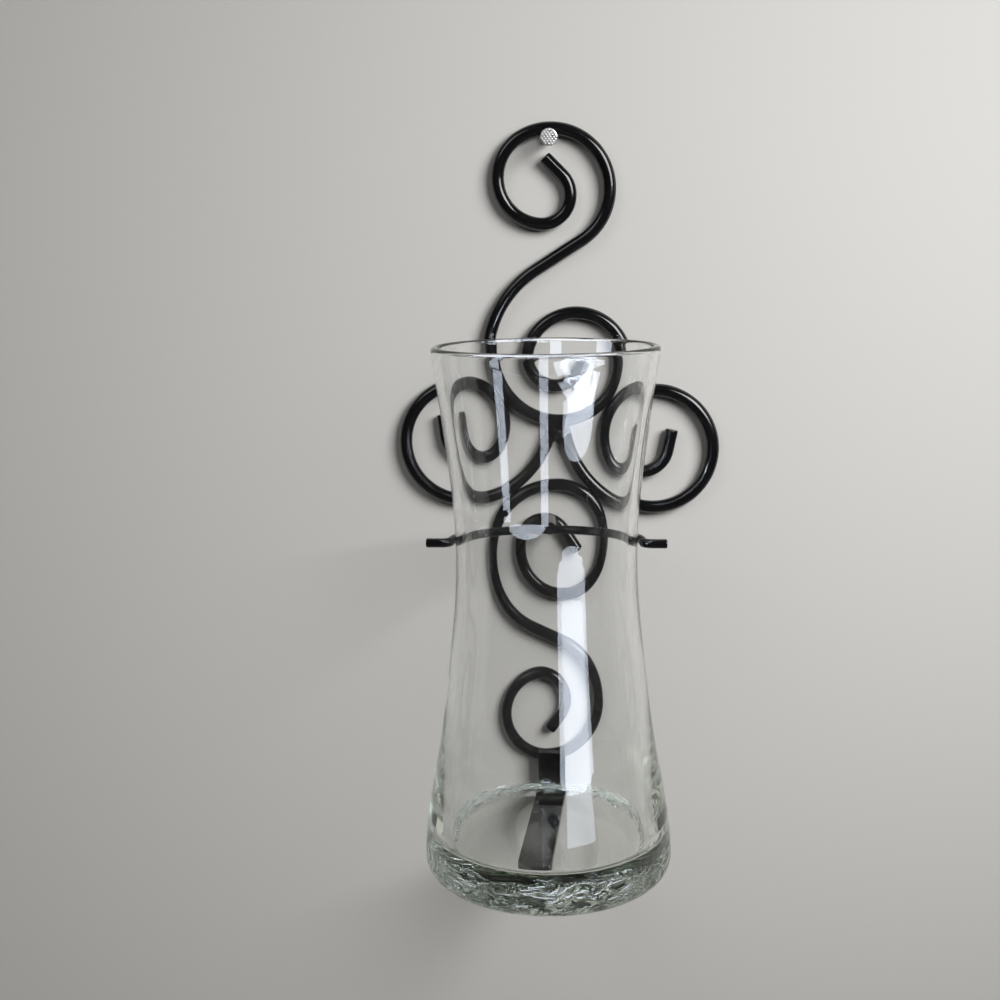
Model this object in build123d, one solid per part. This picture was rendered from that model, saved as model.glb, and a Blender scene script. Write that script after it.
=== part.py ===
from build123d import *
from collections import namedtuple
import math
import os

# A hanging wall vase: a clear glass vase in a bracket of bent round bar, hung on a nail.
# Millimetres. +X is right, +Y goes into the wall, +Z is up.
# The origin is on the nail's axis, at the face of the wall.

# Bar stock
ROD_D = 4.8
CLIP_WIRE_D = 3.2
STRIP_W = 12.0
STRIP_T = 3.0
END_ROUND = 0.5

# Clearances
WALL_GAP = 0.3
HANG_GAP = 0.05
WELD_GAP = 0.1
CLIP_GAP = 0.4
SEAT_GAP = 0.2
LEG_CLEARANCE = 1.1

# Nail
NAIL_D = 2.8
NAIL_HEAD_D = 6.2
NAIL_HEAD_T = 1.1
NAIL_HEAD_ROUND = 0.35
NAIL_OUT = 12.0
NAIL_IN = 36.0
NAIL_POINT = 4.0
NAIL_POINT_D = 0.5
GRIP_COUNT = 5
GRIP_PITCH = 1.5
GRIP_W = 0.6
GRIP_DEPTH = 0.12

# Hanger scroll, from its crown over the nail: to the eye on the left, and down the right side
HANGER_CROWN_R = 22.0
HANGER_CROWN_LEFT = 30.0
HANGER_EYE_R = 17.0
HANGER_EYE_TURN = 145.0
HANGER_HOOK_R = 10.5
HANGER_HOOK_TURN = 140.0
HANGER_HOOK_END = 9.0
HANGER_CROWN_RIGHT = 148.0
HANGER_RUN = 20.5
HANGER_HIP_R = 39.0
HANGER_HIP_TURN = 41.0
HANGER_BELLY_R = 27.0
HANGER_BELLY_TURN = 155.0
HANGER_COIL_R = 19.0
HANGER_COIL_TURN = 202.0
HANGER_CURL_R = 11.0
HANGER_CURL_TURN = 163.0
HANGER_CURL_END = 6.0

# Side scrolls, a pair bent by hand, from the tail under the hanger scroll
SIDE_OFFSET = -0.5
SIDE_COPE = 0.8
SIDE_TAIL_R = 37.0
SIDE_TAIL_TURN = 69.0
SIDE_OUTER_R = 22.5
SIDE_OUTER_TURN = 180.0
LEFT_COIL_R = 15.4
RIGHT_COIL_R = 17.1
SIDE_COIL_TURN = 138.0
SIDE_HOOK_R = 10.1
SIDE_HOOK_TURN = 134.0
SIDE_HOOK_END = 8.2

# Lower scroll, from its crown: to the eye on the right, and down the left side
LOWER_EYE_R = 22.2
LOWER_EYE_TURN = 141.0
LOWER_COIL_R = 18.2
LOWER_COIL_TURN = 140.0
LOWER_HOOK_R = 10.3
LOWER_HOOK_TURN = 132.0
LOWER_HOOK_END = 10.5
LOWER_CROWN_R = 29.4
LOWER_CROWN_TURN = 158.0
LOWER_RUN = 15.7
LOWER_BELLY_R = 24.5
LOWER_BELLY_TURN = 154.0
LOWER_FOOT_R = 17.6
LOWER_FOOT_TURN = 168.0
LOWER_CURL_R = 10.8
LOWER_CURL_TURN = 143.0
LOWER_CURL_END = 8.0

# Clip, a half hoop behind the waist with its ends turned out
CLIP_BEND_R = 3.2
CLIP_SPAN = 84.0
CLIP_TILT = 4.0

# Shelf, a bent strip that laps the lower scroll and carries the vase
SHELF_DROP = 23.5
SHELF_LAP = 3.0
SHELF_BEND_R = 4.5
SHELF_PAST_AXIS = 19.0
SHELF_CORNER_R = 2.5
SHELF_TURN = 3.6

# Weld beads
BEAD_R = 1.5
BEAD_TUCK = 0.5
CROTCH_BEAD_R = 2.2

# Glass vase
VASE_H = 190.0
RIM_D = 78.6
RIM_WALL = 2.7
RIM_FLARE = 7.5
WAIST_D = 63.6
WAIST_Z = 113.0
WAIST_WALL = 3.2
HIP_D = 68.0
HIP_Z = 83.5
HIP_WALL = 3.7
SKIRT_D = 78.6
SKIRT_Z = 44.0
SKIRT_WALL = 4.6
BASE_D = 88.8
HEEL_R = 7.0
FLOOR_T = 14.0
CAVITY_D = 73.0
CAVITY_CORNER_R = 4.0

# How a seat is searched for
HALVINGS = 16
REACH = 60.0
SWING = 30.0

ROD_R = ROD_D / 2
CLIP_WIRE_R = CLIP_WIRE_D / 2
NAIL_R = NAIL_D / 2
BASE_R = BASE_D / 2
SEAT = ROD_D + WELD_GAP
SCROLL_DEPTH = WALL_GAP + ROD_R
SCROLL_FRONT = SCROLL_DEPTH + ROD_R
LEG_BACK = SCROLL_FRONT + WELD_GAP + STRIP_W / 2 * math.sin(math.radians(SHELF_TURN))
VASE_DEPTH = LEG_BACK + STRIP_T + LEG_CLEARANCE + BASE_R
SCROLL_PLANE = Plane.XZ.offset(SCROLL_DEPTH)

Step = namedtuple("Step", "radius turn length")


def bend(radius, turn):
    """A step of a centreline: an arc, anticlockwise where turn is positive."""
    return Step(radius, turn, 0)


def run(length):
    """A step of a centreline: a straight length."""
    return Step(0, 0, length)


def follow(at, way, steps):
    """The edges of a centreline that starts at a point and takes each step in turn."""
    edges = []
    for step in steps:
        if step.radius:
            edge = JernArc(at, way, step.radius, step.turn)
        else:
            edge = PolarLine(at, step.length, direction=way)
        edges.append(edge)
        at = edge @ 1
        way = edge % 1
    return edges


def two_ways(crown, left_steps, right_steps):
    """A centreline that leaves its crown to the left and to the right, from its left tip."""
    tip = follow(crown, Vector(-1, 0), left_steps)[-1]
    back = [step._replace(turn=-step.turn) for step in reversed(left_steps)]
    return Wire(follow(tip @ 1, -(tip % 1), back + right_steps))


def bar(path, radius, free=()):
    """A round bar along a centreline, with the rims of its free ends rounded."""
    section = Plane(origin=path @ 0, x_dir=(0, 0, -1), z_dir=path % 0) * Circle(radius)
    solid = sweep(section, path=path)
    tips = [path @ end for end in free]
    circles = solid.edges().filter_by(GeomType.CIRCLE)
    rims = [edge for edge in circles for tip in tips if (edge.arc_center - tip).length < END_ROUND]
    return fillet(rims, END_ROUND) if rims else solid


def main_solid(shape):
    """The largest solid that is left after a cut."""
    return shape.solids().sort_by(SortBy.VOLUME)[-1]


def seat(gap_at, open_end, shut_end):
    """The place between an open end and a shut end where a gap closes, found by halving."""
    for _ in range(HALVINGS):
        middle = (open_end + shut_end) / 2
        if gap_at(middle) > 0:
            open_end = middle
        else:
            shut_end = middle
    return open_end


def contact(first, second):
    """The place midway between two centrelines where they come closest, its axis across both."""
    _, here, there = first.distance_to_with_closest_points(second)
    return Plane(origin=(here + there) / 2, z_dir=there - here).location


def lowest(path):
    """The lowest point of a centreline."""
    below = path.bounding_box().min.Y - REACH
    ground = Edge.make_line((-4 * REACH, below), (4 * REACH, below))
    return path.distance_to_with_closest_points(ground)[1]


def heights_at(path, across):
    """Where a centreline crosses an upright, from top to bottom."""
    upright = Edge.make_line((across, REACH), (across, -8 * REACH))
    hits = [point for edge in path.edges() for point in edge.find_intersection_points(upright)]
    return sorted((point.Y for point in hits), reverse=True)


# Centrelines, drawn in the plane of the scrolls

def hanger_line():
    """Hanger scroll, with its crown resting on the nail."""
    crown = Vector(0, NAIL_R + HANG_GAP + ROD_R)
    eye = [
        bend(HANGER_CROWN_R, HANGER_CROWN_LEFT),
        bend(HANGER_EYE_R, HANGER_EYE_TURN),
        bend(HANGER_HOOK_R, HANGER_HOOK_TURN),
        run(HANGER_HOOK_END),
    ]
    descent = [
        bend(HANGER_CROWN_R, -HANGER_CROWN_RIGHT),
        run(HANGER_RUN),
        bend(HANGER_HIP_R, HANGER_HIP_TURN),
        bend(HANGER_BELLY_R, HANGER_BELLY_TURN),
        bend(HANGER_COIL_R, HANGER_COIL_TURN),
        bend(HANGER_CURL_R, HANGER_CURL_TURN),
        run(HANGER_CURL_END),
    ]
    return two_ways(crown, eye, descent)


def side_edges(hand, coil_radius):
    """A side scroll, with the top of its tail at the origin, pointing straight down."""
    return follow(Vector(0, 0), Vector(0, -1), [
        bend(SIDE_TAIL_R, hand * SIDE_TAIL_TURN),
        bend(SIDE_OUTER_R, hand * SIDE_OUTER_TURN),
        bend(coil_radius, hand * SIDE_COIL_TURN),
        bend(SIDE_HOOK_R, hand * SIDE_HOOK_TURN),
        run(SIDE_HOOK_END),
    ])


def side_lines(hanger, hand, coil_radius):
    """A side scroll's whole line and its coil, turned about the tail until the coil touches the hanger."""
    top = lowest(hanger)
    tail = Pos(top.X + SIDE_OFFSET + hand * SEAT / 2, top.Y - ROD_R + SIDE_COPE)
    edges = side_edges(hand, coil_radius)
    coil = Wire(edges[1:])

    def gap_at(splay):
        return (tail * Rot(Z=hand * splay) * coil).distance_to(hanger) - SEAT

    turned = tail * Rot(Z=hand * seat(gap_at, -SWING, SWING))
    return turned * Wire(edges), turned * coil


def lower_line(hanger, left, right):
    """Lower scroll, pushed up between the two tails until it touches both."""
    eye = [
        bend(LOWER_EYE_R, -LOWER_EYE_TURN),
        bend(LOWER_COIL_R, -LOWER_COIL_TURN),
        bend(LOWER_HOOK_R, -LOWER_HOOK_TURN),
        run(LOWER_HOOK_END),
    ]
    descent = [
        bend(LOWER_CROWN_R, LOWER_CROWN_TURN),
        run(LOWER_RUN),
        bend(LOWER_BELLY_R, -LOWER_BELLY_TURN),
        bend(LOWER_FOOT_R, -LOWER_FOOT_TURN),
        bend(LOWER_CURL_R, -LOWER_CURL_TURN),
        run(LOWER_CURL_END),
    ]
    line = two_ways(Vector(0, 0), descent, eye)
    top = lowest(hanger)

    def moved(across):
        def gap_at(up):
            trial = Pos(across, up) * line
            return min(trial.distance_to(left), trial.distance_to(right)) - SEAT

        return Pos(across, seat(gap_at, top.Y - 2 * REACH, top.Y - ROD_D)) * line

    def leans_left(across):
        trial = moved(across)
        return trial.distance_to(right) - trial.distance_to(left)

    return moved(seat(leans_left, top.X - REACH / 4, top.X + REACH / 4))


HANGER_LINE = hanger_line()
LEFT_LINE, LEFT_COIL = side_lines(HANGER_LINE, -1, LEFT_COIL_R)
RIGHT_LINE, RIGHT_COIL = side_lines(HANGER_LINE, 1, RIGHT_COIL_R)
LOWER_LINE = lower_line(HANGER_LINE, LEFT_LINE, RIGHT_LINE)

# Heights that follow from the lower scroll: the stud on its hook, the leg on its foot
STUD_Z = heights_at(LOWER_LINE, 0)[1]
FOOT_Z = heights_at(LOWER_LINE, 0)[-1]
SHELF_TOP = FOOT_Z - SHELF_DROP
VASE_FOOT = SHELF_TOP + SEAT_GAP


# Glass vase

def outer_curve():
    """Outside of the glass, from the heel to the rim."""
    points = [
        (BASE_R, HEEL_R),
        (SKIRT_D / 2, SKIRT_Z),
        (HIP_D / 2, HIP_Z),
        (WAIST_D / 2, WAIST_Z),
        (RIM_D / 2, VASE_H - RIM_WALL / 2),
    ]
    flare = (math.sin(math.radians(RIM_FLARE)), math.cos(math.radians(RIM_FLARE)))
    return Spline(points, tangents=[(0, 1), flare])


def inner_curve():
    """Inside of the glass, from the corner of the cavity to the rim."""
    points = [
        (CAVITY_D / 2, FLOOR_T + CAVITY_CORNER_R),
        (SKIRT_D / 2 - SKIRT_WALL, SKIRT_Z),
        (HIP_D / 2 - HIP_WALL, HIP_Z),
        (WAIST_D / 2 - WAIST_WALL, WAIST_Z),
        (RIM_D / 2 - RIM_WALL, VASE_H - RIM_WALL / 2),
    ]
    flare = (math.sin(math.radians(RIM_FLARE)), math.cos(math.radians(RIM_FLARE)))
    return Spline(points, tangents=[(0, 1), flare])


def glass_radius(height):
    """Outside radius of the glass at a height above its foot."""
    level = Edge.make_line((0, height), (2 * BASE_R, height))
    return outer_curve().find_intersection_points(level)[0].X


def glass_vase():
    """The vase, one turned solid with a thick floor and a fire-rounded rim."""
    outside = outer_curve()
    inside = inner_curve()
    corner = JernArc(inside @ 0, (0, -1), CAVITY_CORNER_R, -90)
    heel = JernArc(outside @ 0, (0, -1), HEEL_R, -90)
    rim = ThreePointArc(outside @ 1, (RIM_D / 2 - RIM_WALL / 2, VASE_H), inside @ 1)
    floor = Line(corner @ 1, (0, FLOOR_T))
    axis = Line((0, FLOOR_T), (0, 0))
    foot = Line((0, 0), heel @ 1)
    half = make_face([foot, heel, outside, rim, inside, corner, floor, axis])
    return Pos(0, -VASE_DEPTH, VASE_FOOT) * revolve(Plane.XZ * half, axis=Axis.Z)


# Bracket

def scrolls():
    """The four scrolls, with the two tails coped to the hanger."""
    cope = bar(HANGER_LINE, ROD_R + WELD_GAP)
    bars = [
        bar(HANGER_LINE, ROD_R, free=[0, 1]),
        main_solid(bar(LEFT_LINE, ROD_R, free=[1]) - cope),
        main_solid(bar(RIGHT_LINE, ROD_R, free=[1]) - cope),
        bar(LOWER_LINE, ROD_R, free=[0, 1]),
    ]
    return [SCROLL_PLANE * solid for solid in bars]


def clip_radius():
    """Radius of the clip's hoop, clear of the glass from its back to its raised ends."""
    back = STUD_Z - VASE_FOOT
    rise = WAIST_D / 2 * math.sin(math.radians(CLIP_TILT))
    return max(glass_radius(back), glass_radius(back + rise)) + CLIP_GAP + CLIP_WIRE_R


def clip_depth():
    """How far the back of the clip's hoop stands off the wall."""
    return VASE_DEPTH - clip_radius()


def vase_clip(radius, free=()):
    """A half hoop of wire behind the waist, its ends turned out level."""
    hoop = clip_radius()
    stub = CLIP_SPAN / 2 - hoop - CLIP_BEND_R
    left = [bend(hoop, 90), bend(CLIP_BEND_R, -90), run(stub)]
    right = [bend(hoop, -90), bend(CLIP_BEND_R, 90), run(stub)]
    path = two_ways(Vector(0, 0), left, right)
    return Pos(0, -clip_depth(), STUD_Z) * Rot(X=-CLIP_TILT) * bar(path, radius, free)


def clip_stud(radius):
    """A short bar from the lower scroll's hook forward to the clip."""
    length = clip_depth() - CLIP_WIRE_R - WELD_GAP - SCROLL_DEPTH
    rod = Cylinder(radius, length, align=(Align.CENTER, Align.CENTER, Align.MIN))
    cope = bar(LOWER_LINE, ROD_R + WELD_GAP)
    return main_solid(Pos(0, -SCROLL_DEPTH, STUD_Z) * Rot(X=90) * rod - SCROLL_PLANE * cope)


def vase_shelf():
    """A strip lapped on the lower scroll's foot, bent forward under the vase."""
    middle = LEG_BACK + STRIP_T / 2
    top = FOOT_Z + SHELF_LAP
    drop = top - SHELF_TOP + STRIP_T / 2
    reach = VASE_DEPTH + SHELF_PAST_AXIS - middle
    steps = [run(drop - SHELF_BEND_R), bend(SHELF_BEND_R, 90), run(reach - SHELF_BEND_R)]
    path = Wire(follow(Vector(0, 0), Vector(0, -1), steps))
    section = Plane(origin=path @ 0, x_dir=(0, 0, 1), z_dir=path % 0) * Rectangle(STRIP_W, STRIP_T)
    strip = sweep(section, path=path)
    front = strip.edges().filter_by(Axis.Y).group_by(Axis.X)[-1]
    strip = fillet(front, SHELF_CORNER_R)
    upright = Plane(origin=(0, 0, 0), x_dir=(0, -1, 0), z_dir=(-1, 0, 0))
    return Pos(0, -middle, top) * Rot(Z=-SHELF_TURN) * (upright * strip)


def bead(place, radius, cutters):
    """A ball of weld at a place in the scroll plane, less the pieces it joins."""
    ball = SCROLL_PLANE * place * Sphere(radius)
    for cutter in cutters:
        ball = ball - cutter
    return main_solid(ball)


def weld_beads(shelf):
    """Beads behind the touching bars, in the crotch of the tails, and beside the stud and the leg."""
    hanger, left, right, lower = [
        SCROLL_PLANE * bar(line, ROD_R + WELD_GAP / 2)
        for line in (HANGER_LINE, LEFT_LINE, RIGHT_LINE, LOWER_LINE)
    ]
    stud = clip_stud(ROD_R + WELD_GAP / 2)
    clip = vase_clip(CLIP_WIRE_R + WELD_GAP / 2)
    touching = [
        (contact(LEFT_COIL, HANGER_LINE), [left, hanger]),
        (contact(RIGHT_COIL, HANGER_LINE), [right, hanger]),
        (contact(LEFT_LINE, LOWER_LINE), [left, lower]),
        (contact(RIGHT_LINE, LOWER_LINE), [right, lower]),
    ]
    beads = [bead(Pos(0, 0, BEAD_R - ROD_R) * spot, BEAD_R, pair) for spot, pair in touching]
    crotch = lowest(HANGER_LINE) + Vector(SIDE_OFFSET, -ROD_R - CROTCH_BEAD_R)
    beads.append(bead(Pos(crotch) * Rot(Y=90), CROTCH_BEAD_R, [hanger, left, right]))
    stud_end = clip_depth() - CLIP_WIRE_R - SCROLL_DEPTH
    for side in (-1, 1):
        root = heights_at(LOWER_LINE, side * ROD_R)[1]
        foot = heights_at(LOWER_LINE, side * STRIP_W / 2)[-1]
        stud_edge = side * (ROD_R - BEAD_TUCK)
        leg_edge = side * (STRIP_W / 2 - BEAD_TUCK)
        beads.append(bead(Pos(stud_edge, root, ROD_R), BEAD_R, [lower, stud]))
        beads.append(bead(Pos(stud_edge, STUD_Z, stud_end), BEAD_R, [stud, clip]))
        beads.append(bead(Pos(leg_edge, foot, ROD_R), BEAD_R, [lower, shelf]))
    return Compound(beads)


# Nail

def wall_nail():
    """A round nail with a flat head, ring grips under the head and a tapered point."""
    low = (Align.CENTER, Align.CENTER, Align.MIN)
    shank = Pos(0, 0, NAIL_POINT - NAIL_IN) * Cylinder(NAIL_R, NAIL_OUT + NAIL_IN - NAIL_POINT, align=low)
    head = Cylinder(NAIL_HEAD_D / 2, NAIL_HEAD_T, align=low)
    head = fillet(head.edges().filter_by(GeomType.CIRCLE), NAIL_HEAD_ROUND)
    point = Pos(0, 0, -NAIL_IN) * Cone(NAIL_POINT_D / 2, NAIL_R, NAIL_POINT, align=low)
    notch = Polyline(
        (NAIL_R - GRIP_DEPTH, 0), (NAIL_R + GRIP_DEPTH, GRIP_W), (NAIL_R + GRIP_DEPTH, -GRIP_W), close=True)
    ring = revolve(Plane.XZ * make_face(notch), axis=Axis.Z)
    grips = [Pos(0, 0, GRIP_W / 2 + place * GRIP_PITCH) * ring for place in range(GRIP_COUNT)]
    return Plane.XZ * (shank + Pos(0, 0, NAIL_OUT) * head + point - grips)


HANGER, LEFT, RIGHT, LOWER = scrolls()
SHELF = vase_shelf()
NODES = {
    "wall_nail": wall_nail(),
    "hanger_scroll": HANGER,
    "left_scroll": LEFT,
    "right_scroll": RIGHT,
    "lower_scroll": LOWER,
    "clip_stud": clip_stud(ROD_R),
    "vase_clip": vase_clip(CLIP_WIRE_R, free=[0, 1]),
    "vase_shelf": SHELF,
    "weld_beads": weld_beads(SHELF),
    "glass_vase": glass_vase(),
}

os.makedirs("parts", exist_ok=True)
for name, solid in NODES.items():
    export_step(solid, f"parts/{name}.step")
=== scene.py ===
import math

import bpy
import numpy as np
from mathutils import Matrix, Vector, noise


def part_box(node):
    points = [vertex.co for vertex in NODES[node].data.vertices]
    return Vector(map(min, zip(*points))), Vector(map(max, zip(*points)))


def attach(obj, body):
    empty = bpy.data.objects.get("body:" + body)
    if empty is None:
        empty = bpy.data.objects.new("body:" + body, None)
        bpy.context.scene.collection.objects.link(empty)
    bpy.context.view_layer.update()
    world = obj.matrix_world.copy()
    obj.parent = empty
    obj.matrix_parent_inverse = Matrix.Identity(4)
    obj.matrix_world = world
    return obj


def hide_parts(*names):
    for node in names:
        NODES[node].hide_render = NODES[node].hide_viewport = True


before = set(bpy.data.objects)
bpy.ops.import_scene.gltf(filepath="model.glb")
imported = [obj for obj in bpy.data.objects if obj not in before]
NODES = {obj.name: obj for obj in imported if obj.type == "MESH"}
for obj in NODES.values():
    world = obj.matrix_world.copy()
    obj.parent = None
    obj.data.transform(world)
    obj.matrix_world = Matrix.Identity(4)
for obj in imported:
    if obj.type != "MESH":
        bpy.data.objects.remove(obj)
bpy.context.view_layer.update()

# Metres. +X is right, +Y goes into the wall, +Z is up. The wall's face is at Y = 0.
MM = 0.001

# Glass vase: heights are above its foot
RIM_R = 39.3 * MM
RIM_WALL = 2.7 * MM
RIM_FLARE = math.radians(7.5)
WAIST_R = 31.8 * MM
WAIST_Z = 113.0 * MM
WAIST_WALL = 3.2 * MM
HIP_R = 34.0 * MM
HIP_Z = 83.5 * MM
HIP_WALL = 3.7 * MM
SKIRT_R = 39.3 * MM
SKIRT_Z = 44.0 * MM
SKIRT_WALL = 4.6 * MM
HEEL_R = 7.0 * MM
FLOOR_T = 14.0 * MM
CAVITY_R = 36.5 * MM
CAVITY_CORNER_R = 2.5 * MM

# Fineness of the glass mesh
GLASS_SIDES = 288
FLAT_RINGS = 12
ARC_RINGS = 14
OUTER_RINGS = 150
INNER_RINGS = 140

# Unevenness of the glass: depths, waves per metre, and where they fade out
FINE_DEPTH = 0.16 * MM
FINE_WAVES = 120
FINE_SQUASH = 1.6
SWIRL_DEPTH = 0.07 * MM
SWIRL_WAVES = 85
SWIRL_STRETCH = 0.35
SWIRL_LEAN = 0.4
BROAD_DEPTH = 0.03 * MM
BROAD_WAVES = 45
FINE_TOP = 13 * MM
SWIRL_MIDDLE = 24 * MM
SWIRL_REACH = 46 * MM
TRUE_CENTRE_R = 10 * MM

# Glass material
GLASS_IOR = 1.5
GLASS_TINT = (0.72, 0.88, 0.60, 1)
GLASS_TINT_DENSITY = 4.5
WRINKLE_SCALE = 130.0
WRINKLE_STRETCH = (1, 1, 2.2)
WRINKLE_DEPTH = 1.5 * MM
WRINKLE_HEIGHTS = (16 * MM, 9 * MM)
WRINKLE_RADII = (37 * MM, 40 * MM)
WRINKLE_PATCHES = (0.2, 0.45)

# Camera, from the photograph
CAMERA_AT = Vector((20.2, -539.33, -36.31)) * MM
CAMERA_YAW = math.radians(-4.28)
CAMERA_PITCH = math.radians(10.41)
CAMERA_ROLL = math.radians(-0.67)
CAMERA_LENS = 51.008
SENSOR_W = 36

# Stage
WALL_W = 3.0
WALL_H = 2.2
FLOOR_Z = -0.9
FLOOR_DEPTH = 2.2
PALE = (0.70, 0.69, 0.665)
ROOM_COLOUR = (0.97, 0.98, 1.0, 1)
ROOM_LIGHT = 0.03
ROOM_SEEN = 0.55
FLOOR_SEEN = 0.6
SEEN_IN_GLOSS = 0.02

# Lamps
OBJECT_MIDDLE = (0, -0.05, -0.15)
RIM_MIDDLE = (0, -0.05, -0.07)
KEY_SPREAD = math.radians(100)
DAYLIGHT = (0.80, 0.87, 1.0)
PANE_RING = 1.28
# Glass surfaces that a reflected ray has crossed when it reaches a lamp
CROSSED = {"outer": 0, "inner": 2, "back": 4}
# Midway between whole counts of surfaces
HALF_COUNT = 0.5

# Light paths
ALL_BOUNCES = 32
GLASS_BOUNCES = 24


# Node helpers

def material(name):
    """A new material with an empty node tree, its output and a main shader."""
    mat = bpy.data.materials.new(name)
    mat.use_nodes = True
    tree = mat.node_tree
    tree.nodes.clear()
    output = tree.nodes.new("ShaderNodeOutputMaterial")
    shader = tree.nodes.new("ShaderNodeBsdfPrincipled")
    tree.links.new(shader.outputs["BSDF"], output.inputs["Surface"])
    return mat, tree, shader, output


def noise_value(tree, scale, detail=3.0):
    """Noise in object coordinates, with its scale in waves per metre."""
    coords = tree.nodes.new("ShaderNodeTexCoord")
    node = tree.nodes.new("ShaderNodeTexNoise")
    node.inputs["Scale"].default_value = scale
    node.inputs["Detail"].default_value = detail
    tree.links.new(coords.outputs["Object"], node.inputs["Vector"])
    return node.outputs["Fac"]


def spread(tree, source, low, high, from_low=0.35, from_high=0.65):
    """Maps a value onto a range. The defaults suit noise."""
    node = tree.nodes.new("ShaderNodeMapRange")
    node.inputs["From Min"].default_value = from_low
    node.inputs["From Max"].default_value = from_high
    node.inputs["To Min"].default_value = low
    node.inputs["To Max"].default_value = high
    tree.links.new(source, node.inputs["Value"])
    return node.outputs["Result"]


def between(tree, source, start, end):
    """A smooth step from 0 at one value to 1 at another."""
    node = tree.nodes.new("ShaderNodeMapRange")
    node.interpolation_type = "SMOOTHSTEP"
    node.inputs["From Min"].default_value = start
    node.inputs["From Max"].default_value = end
    tree.links.new(source, node.inputs["Value"])
    return node.outputs["Result"]


def maths(tree, operation, *values):
    """One maths node, where each value is a number or another node's output."""
    node = tree.nodes.new("ShaderNodeMath")
    node.operation = operation
    for socket, value in zip(node.inputs, values):
        if isinstance(value, bpy.types.NodeSocket):
            tree.links.new(value, socket)
        else:
            socket.default_value = value
    return node.outputs["Value"]


def product(tree, *sources):
    """The product of several values."""
    value = sources[0]
    for source in sources[1:]:
        value = maths(tree, "MULTIPLY", value, source)
    return value


def seen(tree):
    """1 for the eye's rays, also straight through glass, little for reflections and 0 for light itself."""
    path = tree.nodes.new("ShaderNodeLightPath")
    straight = maths(tree, "LESS_THAN", path.outputs["Glossy Depth"], HALF_COUNT)
    through_glass = product(tree, path.outputs["Is Transmission Ray"], straight)
    eye = maths(tree, "ADD", path.outputs["Is Camera Ray"], through_glass)
    return maths(tree, "MULTIPLY_ADD", path.outputs["Is Glossy Ray"], SEEN_IN_GLOSS, eye)


def mottle(tree, shader, scale, dark, light):
    """Varies the shader's colour between two tones."""
    ramp = tree.nodes.new("ShaderNodeValToRGB")
    ramp.color_ramp.elements[0].color = (*dark, 1)
    ramp.color_ramp.elements[1].color = (*light, 1)
    tree.links.new(noise_value(tree, scale), ramp.inputs["Fac"])
    tree.links.new(ramp.outputs["Color"], shader.inputs["Base Color"])


def uneven_gloss(tree, shader, scale, low, high):
    """Varies the shader's roughness between two values."""
    tree.links.new(spread(tree, noise_value(tree, scale), low, high), shader.inputs["Roughness"])


def bump(tree, shader, height, strength, distance):
    """Feeds a height into the shader's normal."""
    node = tree.nodes.new("ShaderNodeBump")
    node.inputs["Strength"].default_value = strength
    node.inputs["Distance"].default_value = distance
    tree.links.new(height, node.inputs["Height"])
    tree.links.new(node.outputs["Normal"], shader.inputs["Normal"])


# Materials

def black_enamel():
    """Gloss black enamel with a fine orange peel and slightly uneven gloss."""
    mat, tree, shader, _ = material("black_enamel")
    mottle(tree, shader, scale=90.0, dark=(0.002, 0.002, 0.0022), light=(0.008, 0.008, 0.009))
    uneven_gloss(tree, shader, scale=240.0, low=0.08, high=0.18)
    peel = noise_value(tree, scale=900.0, detail=2.0)
    bump(tree, shader, peel, strength=0.18, distance=0.12 * MM)
    return mat


def nail_steel():
    """Bright steel with crossed file marks."""
    mat, tree, shader, _ = material("nail_steel")
    shader.inputs["Metallic"].default_value = 1.0
    mottle(tree, shader, scale=700.0, dark=(0.62, 0.62, 0.63), light=(0.95, 0.95, 0.94))
    uneven_gloss(tree, shader, scale=1500.0, low=0.25, high=0.50)
    coords = tree.nodes.new("ShaderNodeTexCoord")
    marks = []
    for turn in (35.0, -40.0):
        mapping = tree.nodes.new("ShaderNodeMapping")
        mapping.inputs["Rotation"].default_value = (0, math.radians(turn), 0)
        wave = tree.nodes.new("ShaderNodeTexWave")
        wave.inputs["Scale"].default_value = 330.0
        wave.inputs["Distortion"].default_value = 1.6
        tree.links.new(coords.outputs["Object"], mapping.inputs["Vector"])
        tree.links.new(mapping.outputs["Vector"], wave.inputs["Vector"])
        marks.append(wave.outputs["Fac"])
    bump(tree, shader, product(tree, *marks), strength=0.6, distance=0.15 * MM)
    return mat


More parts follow.
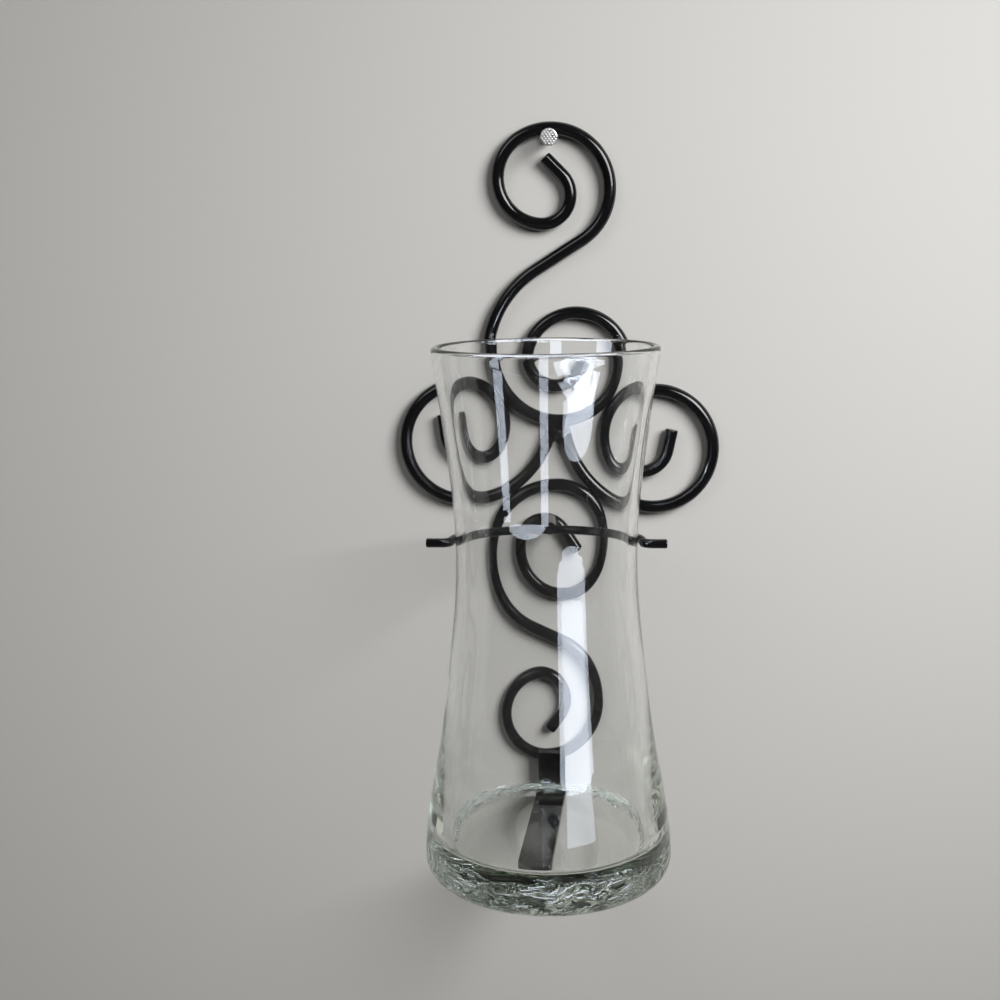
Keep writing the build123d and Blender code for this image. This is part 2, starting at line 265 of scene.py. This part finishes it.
def chill_wrinkles(tree, axis_y, foot_z):
    """The height of the chill wrinkles, in patches round the heel."""
    coords = tree.nodes.new("ShaderNodeTexCoord")
    place = tree.nodes.new("ShaderNodeMapping")
    place.inputs["Location"].default_value = (0, -axis_y, -foot_z)
    tree.links.new(coords.outputs["Object"], place.inputs["Vector"])
    split = tree.nodes.new("ShaderNodeSeparateXYZ")
    tree.links.new(place.outputs["Vector"], split.inputs["Vector"])
    flat = tree.nodes.new("ShaderNodeVectorMath")
    flat.operation = "MULTIPLY"
    flat.inputs[1].default_value = (1, 1, 0)
    tree.links.new(place.outputs["Vector"], flat.inputs[0])
    radius = tree.nodes.new("ShaderNodeVectorMath")
    radius.operation = "LENGTH"
    tree.links.new(flat.outputs["Vector"], radius.inputs[0])
    stretch = tree.nodes.new("ShaderNodeMapping")
    stretch.inputs["Scale"].default_value = WRINKLE_STRETCH
    tree.links.new(place.outputs["Vector"], stretch.inputs["Vector"])
    ridges = tree.nodes.new("ShaderNodeTexNoise")
    ridges.noise_type = "RIDGED_MULTIFRACTAL"
    ridges.inputs["Scale"].default_value = WRINKLE_SCALE
    ridges.inputs["Detail"].default_value = 3.0
    ridges.inputs["Offset"].default_value = 0.9
    ridges.inputs["Gain"].default_value = 1.5
    ridges.inputs["Distortion"].default_value = 0.8
    tree.links.new(stretch.outputs["Vector"], ridges.inputs["Vector"])
    low = between(tree, split.outputs["Z"], *WRINKLE_HEIGHTS)
    ring = between(tree, radius.outputs["Value"], *WRINKLE_RADII)
    patches = between(tree, noise_value(tree, scale=30.0, detail=1.0), *WRINKLE_PATCHES)
    return product(tree, ridges.outputs["Fac"], low, ring, patches)


def clear_glass(axis_y, foot_z):
    """Clear glass, faintly green where it is thick, with chill wrinkles round its heel."""
    mat, tree, shader, output = material("clear_glass")
    bump(tree, shader, chill_wrinkles(tree, axis_y, foot_z), strength=1.0, distance=WRINKLE_DEPTH)
    shader.inputs["Base Color"].default_value = (1.0, 1.0, 1.0, 1)
    shader.inputs["Roughness"].default_value = 0.0
    shader.inputs["IOR"].default_value = GLASS_IOR
    shader.inputs["Transmission Weight"].default_value = 1.0
    absorb = tree.nodes.new("ShaderNodeVolumeAbsorption")
    absorb.inputs["Color"].default_value = GLASS_TINT
    absorb.inputs["Density"].default_value = GLASS_TINT_DENSITY
    tree.links.new(absorb.outputs["Volume"], output.inputs["Volume"])
    return mat


def plain(name, colour, see_through_back=False, lift=0):
    """A plain matt stage colour, clear from behind or lifted to the eye where asked."""
    mat, tree, shader, output = material(name)
    shader.inputs["Base Color"].default_value = (*colour, 1)
    shader.inputs["Roughness"].default_value = 0.9
    shader.inputs["Specular IOR Level"].default_value = 0.1
    if lift:
        shader.inputs["Emission Color"].default_value = (*colour, 1)
        strength = spread(tree, seen(tree), 0, lift, from_low=0, from_high=1)
        tree.links.new(strength, shader.inputs["Emission Strength"])
    if see_through_back:
        geometry = tree.nodes.new("ShaderNodeNewGeometry")
        clear = tree.nodes.new("ShaderNodeBsdfTransparent")
        mix = tree.nodes.new("ShaderNodeMixShader")
        tree.links.new(geometry.outputs["Backfacing"], mix.inputs["Fac"])
        tree.links.new(shader.outputs["BSDF"], mix.inputs[1])
        tree.links.new(clear.outputs["BSDF"], mix.inputs[2])
        tree.links.new(mix.outputs["Shader"], output.inputs["Surface"])
    return mat


# Glass vase, turned about the CAD node's own axis

def through(points, start_slope, end_slope):
    """A smooth radius by height through a few points, with its slope given at both ends."""
    heights = np.array([z for _, z in points])
    radii = np.array([r for r, _ in points])
    steps = np.diff(heights)
    rises = np.diff(radii) / steps
    count = len(points)
    matrix = np.eye(count)
    slopes = np.full(count, float(start_slope))
    slopes[-1] = end_slope
    for i in range(1, count - 1):
        matrix[i, i - 1] = 1 / steps[i - 1]
        matrix[i, i] = 2 / steps[i - 1] + 2 / steps[i]
        matrix[i, i + 1] = 1 / steps[i]
        slopes[i] = 3 * (rises[i - 1] / steps[i - 1] + rises[i] / steps[i])
    slopes = np.linalg.solve(matrix, slopes)

    def radius(z):
        i = int(np.clip(np.searchsorted(heights, z) - 1, 0, count - 2))
        t = (z - heights[i]) / steps[i]
        value = (2 * t**3 - 3 * t**2 + 1) * radii[i] + (3 * t**2 - 2 * t**3) * radii[i + 1]
        return value + steps[i] * ((t**3 - 2 * t**2 + t) * slopes[i] + (t**3 - t**2) * slopes[i + 1])

    return radius


def arc(centre, radius, start, end):
    """Points of an arc in the half section, without its first one."""
    angles = [math.radians(start + (end - start) * k / ARC_RINGS) for k in range(1, ARC_RINGS + 1)]
    return [(centre[0] + radius * math.cos(a), centre[1] + radius * math.sin(a)) for a in angles]


def half_section(base_r, height):
    """The vase's half section, from the middle of its foot round to the middle of its floor."""
    flare = math.tan(RIM_FLARE)
    lip_z = height - RIM_WALL / 2
    low_z = FLOOR_T + CAVITY_CORNER_R
    outer = through(
        [(base_r, HEEL_R), (SKIRT_R, SKIRT_Z), (HIP_R, HIP_Z), (WAIST_R, WAIST_Z), (RIM_R, lip_z)],
        start_slope=0, end_slope=flare)
    inner = through(
        [(CAVITY_R, low_z), (SKIRT_R - SKIRT_WALL, SKIRT_Z), (HIP_R - HIP_WALL, HIP_Z),
         (WAIST_R - WAIST_WALL, WAIST_Z), (RIM_R - RIM_WALL, lip_z)],
        start_slope=0, end_slope=flare)
    foot_r = base_r - HEEL_R
    floor_r = CAVITY_R - CAVITY_CORNER_R
    points = [(foot_r * k / FLAT_RINGS, 0) for k in range(FLAT_RINGS + 1)]
    points += arc((foot_r, HEEL_R), HEEL_R, -90, 0)
    points += [(outer(z), z) for z in np.linspace(HEEL_R, lip_z, OUTER_RINGS)[1:]]
    points += arc((RIM_R - RIM_WALL / 2, lip_z), RIM_WALL / 2, 0, 180)
    points += [(inner(z), z) for z in np.linspace(lip_z, low_z, INNER_RINGS)[1:]]
    points += arc((floor_r, low_z), CAVITY_CORNER_R, 0, -90)
    points += [(floor_r * (1 - k / FLAT_RINGS), FLOOR_T) for k in range(1, FLAT_RINGS + 1)]
    return points


def chill_marks(at, height):
    """How far the glass stands off its true shape: uneven near the chilled base, almost true above."""
    base = max(0.0, 1.0 - height / FINE_TOP)
    skirt = max(0.0, 1.0 - abs(height - SWIRL_MIDDLE) / SWIRL_REACH)
    fine = noise.noise(Vector((at.x, at.y, at.z * FINE_SQUASH)) * FINE_WAVES) * FINE_DEPTH
    leaning = at.z * SWIRL_STRETCH + at.x * SWIRL_LEAN
    swirl = noise.noise(Vector((at.x, at.y, leaning)) * SWIRL_WAVES) * SWIRL_DEPTH
    broad = noise.noise(at * BROAD_WAVES) * BROAD_DEPTH
    return base * fine + skirt * swirl + broad


def glass_vase():
    """The vase as one fine turned mesh."""
    low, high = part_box("glass_vase")
    centre = (low + high) / 2
    height = high.z - low.z
    section = half_section((high.x - low.x) / 2, height)
    rings = section[1:-1]
    verts = [Vector((0, 0, section[0][1]))]
    for radius, z in rings:
        for side in range(GLASS_SIDES):
            angle = math.tau * side / GLASS_SIDES
            spot = Vector((radius * math.cos(angle), radius * math.sin(angle), z))
            outward = Vector((math.cos(angle), math.sin(angle), 0))
            inset = min(chill_marks(spot, z), 0)
            verts.append(spot + outward * inset * min(radius / TRUE_CENTRE_R, 1))
    verts.append(Vector((0, 0, section[-1][1])))
    last = len(verts) - 1
    faces = []
    for ring in range(len(rings) - 1):
        for side in range(GLASS_SIDES):
            here = 1 + ring * GLASS_SIDES + side
            there = 1 + ring * GLASS_SIDES + (side + 1) % GLASS_SIDES
            faces.append((here, there, there + GLASS_SIDES, here + GLASS_SIDES))
    top = last - GLASS_SIDES
    for side in range(GLASS_SIDES):
        following = (side + 1) % GLASS_SIDES
        faces.append((0, 1 + following, 1 + side))
        faces.append((top + side, top + following, last))
    mesh = bpy.data.meshes.new("glass_body")
    mesh.from_pydata([v + Vector((centre.x, centre.y, low.z)) for v in verts], [], faces)
    mesh.polygons.foreach_set("use_smooth", [True] * len(mesh.polygons))
    mesh.materials.append(clear_glass(centre.y, low.z))
    piece = bpy.data.objects.new("glass_body", mesh)
    bpy.context.scene.collection.objects.link(piece)
    piece.visible_shadow = False
    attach(piece, "vase")
    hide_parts("glass_vase")


def finish_nodes():
    """Gives each shown CAD node its finish."""
    enamel = black_enamel()
    steel = nail_steel()
    for name, node in NODES.items():
        finish = steel if name == "wall_nail" else enamel
        node.data.materials.clear()
        node.data.materials.append(finish)


# Stage, lights and camera

def panel(name, corners, mat):
    """A flat stage panel."""
    mesh = bpy.data.meshes.new(name)
    mesh.from_pydata(corners, [], [(0, 1, 2, 3)])
    mesh.materials.append(mat)
    piece = bpy.data.objects.new(name, mesh)
    bpy.context.scene.collection.objects.link(piece)


def stage():
    """A pale wall behind the object and a pale floor below it."""
    half = WALL_W / 2
    top = FLOOR_Z + WALL_H
    panel("backdrop", [(-half, 0, FLOOR_Z), (half, 0, FLOOR_Z), (half, 0, top), (-half, 0, top)],
          plain("backdrop", PALE, see_through_back=True))
    panel("floor", [(-half, -FLOOR_DEPTH, FLOOR_Z), (half, -FLOOR_DEPTH, FLOOR_Z),
                    (half, 0, FLOOR_Z), (-half, 0, FLOOR_Z)], plain("floor", PALE, lift=FLOOR_SEEN))


def softbox(name, at, target, width, height, power, shape="RECTANGLE"):
    """A soft lamp aimed at a point."""
    lamp = bpy.data.lights.new(name, "AREA")
    lamp.shape = shape
    lamp.size = width
    lamp.size_y = height
    lamp.energy = power
    piece = bpy.data.objects.new(name, lamp)
    piece.location = at
    piece.rotation_euler = (Vector(target) - Vector(at)).to_track_quat("-Z", "Y").to_euler()
    bpy.context.scene.collection.objects.link(piece)
    return piece


def show_in(piece, face):
    """Shows a lamp as a reflection in one face of the glass, and nowhere else."""
    piece.visible_diffuse = False
    piece.light_linking.receiver_collection = bpy.data.collections["glass_only"]
    lamp = piece.data
    lamp.color = DAYLIGHT
    lamp.use_nodes = True
    tree = lamp.node_tree
    path = tree.nodes.new("ShaderNodeLightPath")
    on_face = maths(tree, "COMPARE", path.outputs["Transmission Depth"], CROSSED[face], HALF_COUNT)
    reflected = maths(tree, "GREATER_THAN", path.outputs["Glossy Depth"], HALF_COUNT)
    tree.links.new(product(tree, on_face, reflected), tree.nodes["Emission"].inputs["Strength"])


def pane(name, face, turns, levels, radiance, shape="RECTANGLE", roll=0):
    """A bright upright pane on a ring about the vase, with its turns in degrees from the front."""
    low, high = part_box("glass_vase")
    centre = (low + high) / 2
    turn = math.radians(sum(turns) / 2)
    half = math.radians(abs(turns[1] - turns[0]) / 2)
    level = sum(levels) / 2
    at = (PANE_RING * math.sin(turn), centre.y - PANE_RING * math.cos(turn), level)
    width = 2 * PANE_RING * math.tan(half)
    height = levels[1] - levels[0]
    area = width * height * (math.pi / 4 if shape == "ELLIPSE" else 1)
    piece = softbox(name, at, (0, centre.y, level), width, height, radiance * math.pi * area, shape)
    piece.rotation_euler.rotate_axis("Z", math.radians(roll))
    show_in(piece, face)


def glass_groups():
    """The groups of pieces that lamps light: the glass alone, and all but the glass."""
    for name, state in (("glass_only", "INCLUDE"), ("not_glass", "EXCLUDE")):
        group = bpy.data.collections.new(name)
        group.objects.link(bpy.data.objects["glass_body"])
        group.collection_objects[0].light_linking.link_state = state


def lights():
    """Soft daylight from the front, with panes that show as streaks on the glass."""
    glass_groups()
    key = softbox("key_right", at=(0.45, -0.5, 0.2), target=OBJECT_MIDDLE, width=0.4, height=0.4, power=2.0)
    key.data.spread = KEY_SPREAD
    key.light_linking.receiver_collection = bpy.data.collections["not_glass"]
    softbox("key_left", at=(-0.9, -1.2, 0.9), target=OBJECT_MIDDLE, width=0.8, height=0.8, power=4.0)
    pane("strip", "inner", turns=(16, 54), levels=(-0.535, -0.235), radiance=10.0)
    pane("strip_shoulder", "inner", turns=(18, 51), levels=(-0.557, -0.535), radiance=10.0)
    pane("strip_top", "inner", turns=(23, 45), levels=(-0.574, -0.557), radiance=10.0)
    pane("strip_low", "outer", turns=(20, 46), levels=(-0.37, -0.25), radiance=6.0)
    pane("patch", "back", turns=(-62, -20), levels=(0.05, 0.14), radiance=9.0)
    pane("patch_point", "back", turns=(-61, -22), levels=(-0.05, 0.15), radiance=10.0, shape="ELLIPSE")
    pane("patch_near", "back", turns=(-30, -6), levels=(0.148, 0.182), radiance=12.0, roll=6.8)
    pane("patch_far", "back", turns=(-74, -54), levels=(0.10, 0.134), radiance=12.0, roll=-6.7)
    rim_line = softbox("rim_line", at=(0, -0.25, 0.5), target=RIM_MIDDLE, width=1.8, height=1.0, power=75.0)
    show_in(rim_line, "outer")
    pane("mouth_near", "outer", turns=(-16, -3), levels=(0.04, 0.32), radiance=10.0)
    pane("mouth_far", "outer", turns=(-78, -58), levels=(0.04, 0.32), radiance=10.0)
    pane("loop_near", "back", turns=(-1, 10), levels=(-0.33, 0.22), radiance=13.0)
    pane("loop_far", "back", turns=(57, 69), levels=(-0.31, 0.18), radiance=13.0)
    pane("loop_end", "back", turns=(4, 60), levels=(-0.41, -0.32), radiance=12.0, shape="ELLIPSE")


def room():
    """A dim room, which shows as a pale background."""
    world = bpy.data.worlds.new("room")
    world.use_nodes = True
    tree = world.node_tree
    background = tree.nodes["Background"]
    background.inputs["Color"].default_value = ROOM_COLOUR
    strength = spread(tree, seen(tree), ROOM_LIGHT, ROOM_SEEN, from_low=0, from_high=1)
    tree.links.new(strength, background.inputs["Strength"])
    bpy.context.scene.world = world


def camera():
    """The photograph's camera."""
    forward = Vector((
        math.sin(CAMERA_YAW) * math.cos(CAMERA_PITCH),
        math.cos(CAMERA_YAW) * math.cos(CAMERA_PITCH),
        -math.sin(CAMERA_PITCH)))
    level = Vector((math.cos(CAMERA_YAW), -math.sin(CAMERA_YAW), 0))
    above = level.cross(forward)
    right = math.cos(CAMERA_ROLL) * level + math.sin(CAMERA_ROLL) * above
    up = math.cos(CAMERA_ROLL) * above - math.sin(CAMERA_ROLL) * level
    data = bpy.data.cameras.new("camera")
    data.sensor_width = SENSOR_W
    data.lens = CAMERA_LENS
    data.clip_start = 10 * MM
    piece = bpy.data.objects.new("camera", data)
    piece.matrix_world = Matrix.Translation(CAMERA_AT) @ Matrix((right, up, -forward)).transposed().to_4x4()
    bpy.context.scene.collection.objects.link(piece)
    bpy.context.scene.camera = piece


glass_vase()
finish_nodes()
stage()
lights()
room()
camera()
bpy.context.scene.view_settings.view_transform = "Standard"
bpy.context.scene.cycles.caustics_reflective = False
bpy.context.scene.cycles.caustics_refractive = False
bpy.context.scene.cycles.max_bounces = ALL_BOUNCES
bpy.context.scene.cycles.glossy_bounces = GLASS_BOUNCES
bpy.context.scene.cycles.transmission_bounces = GLASS_BOUNCES
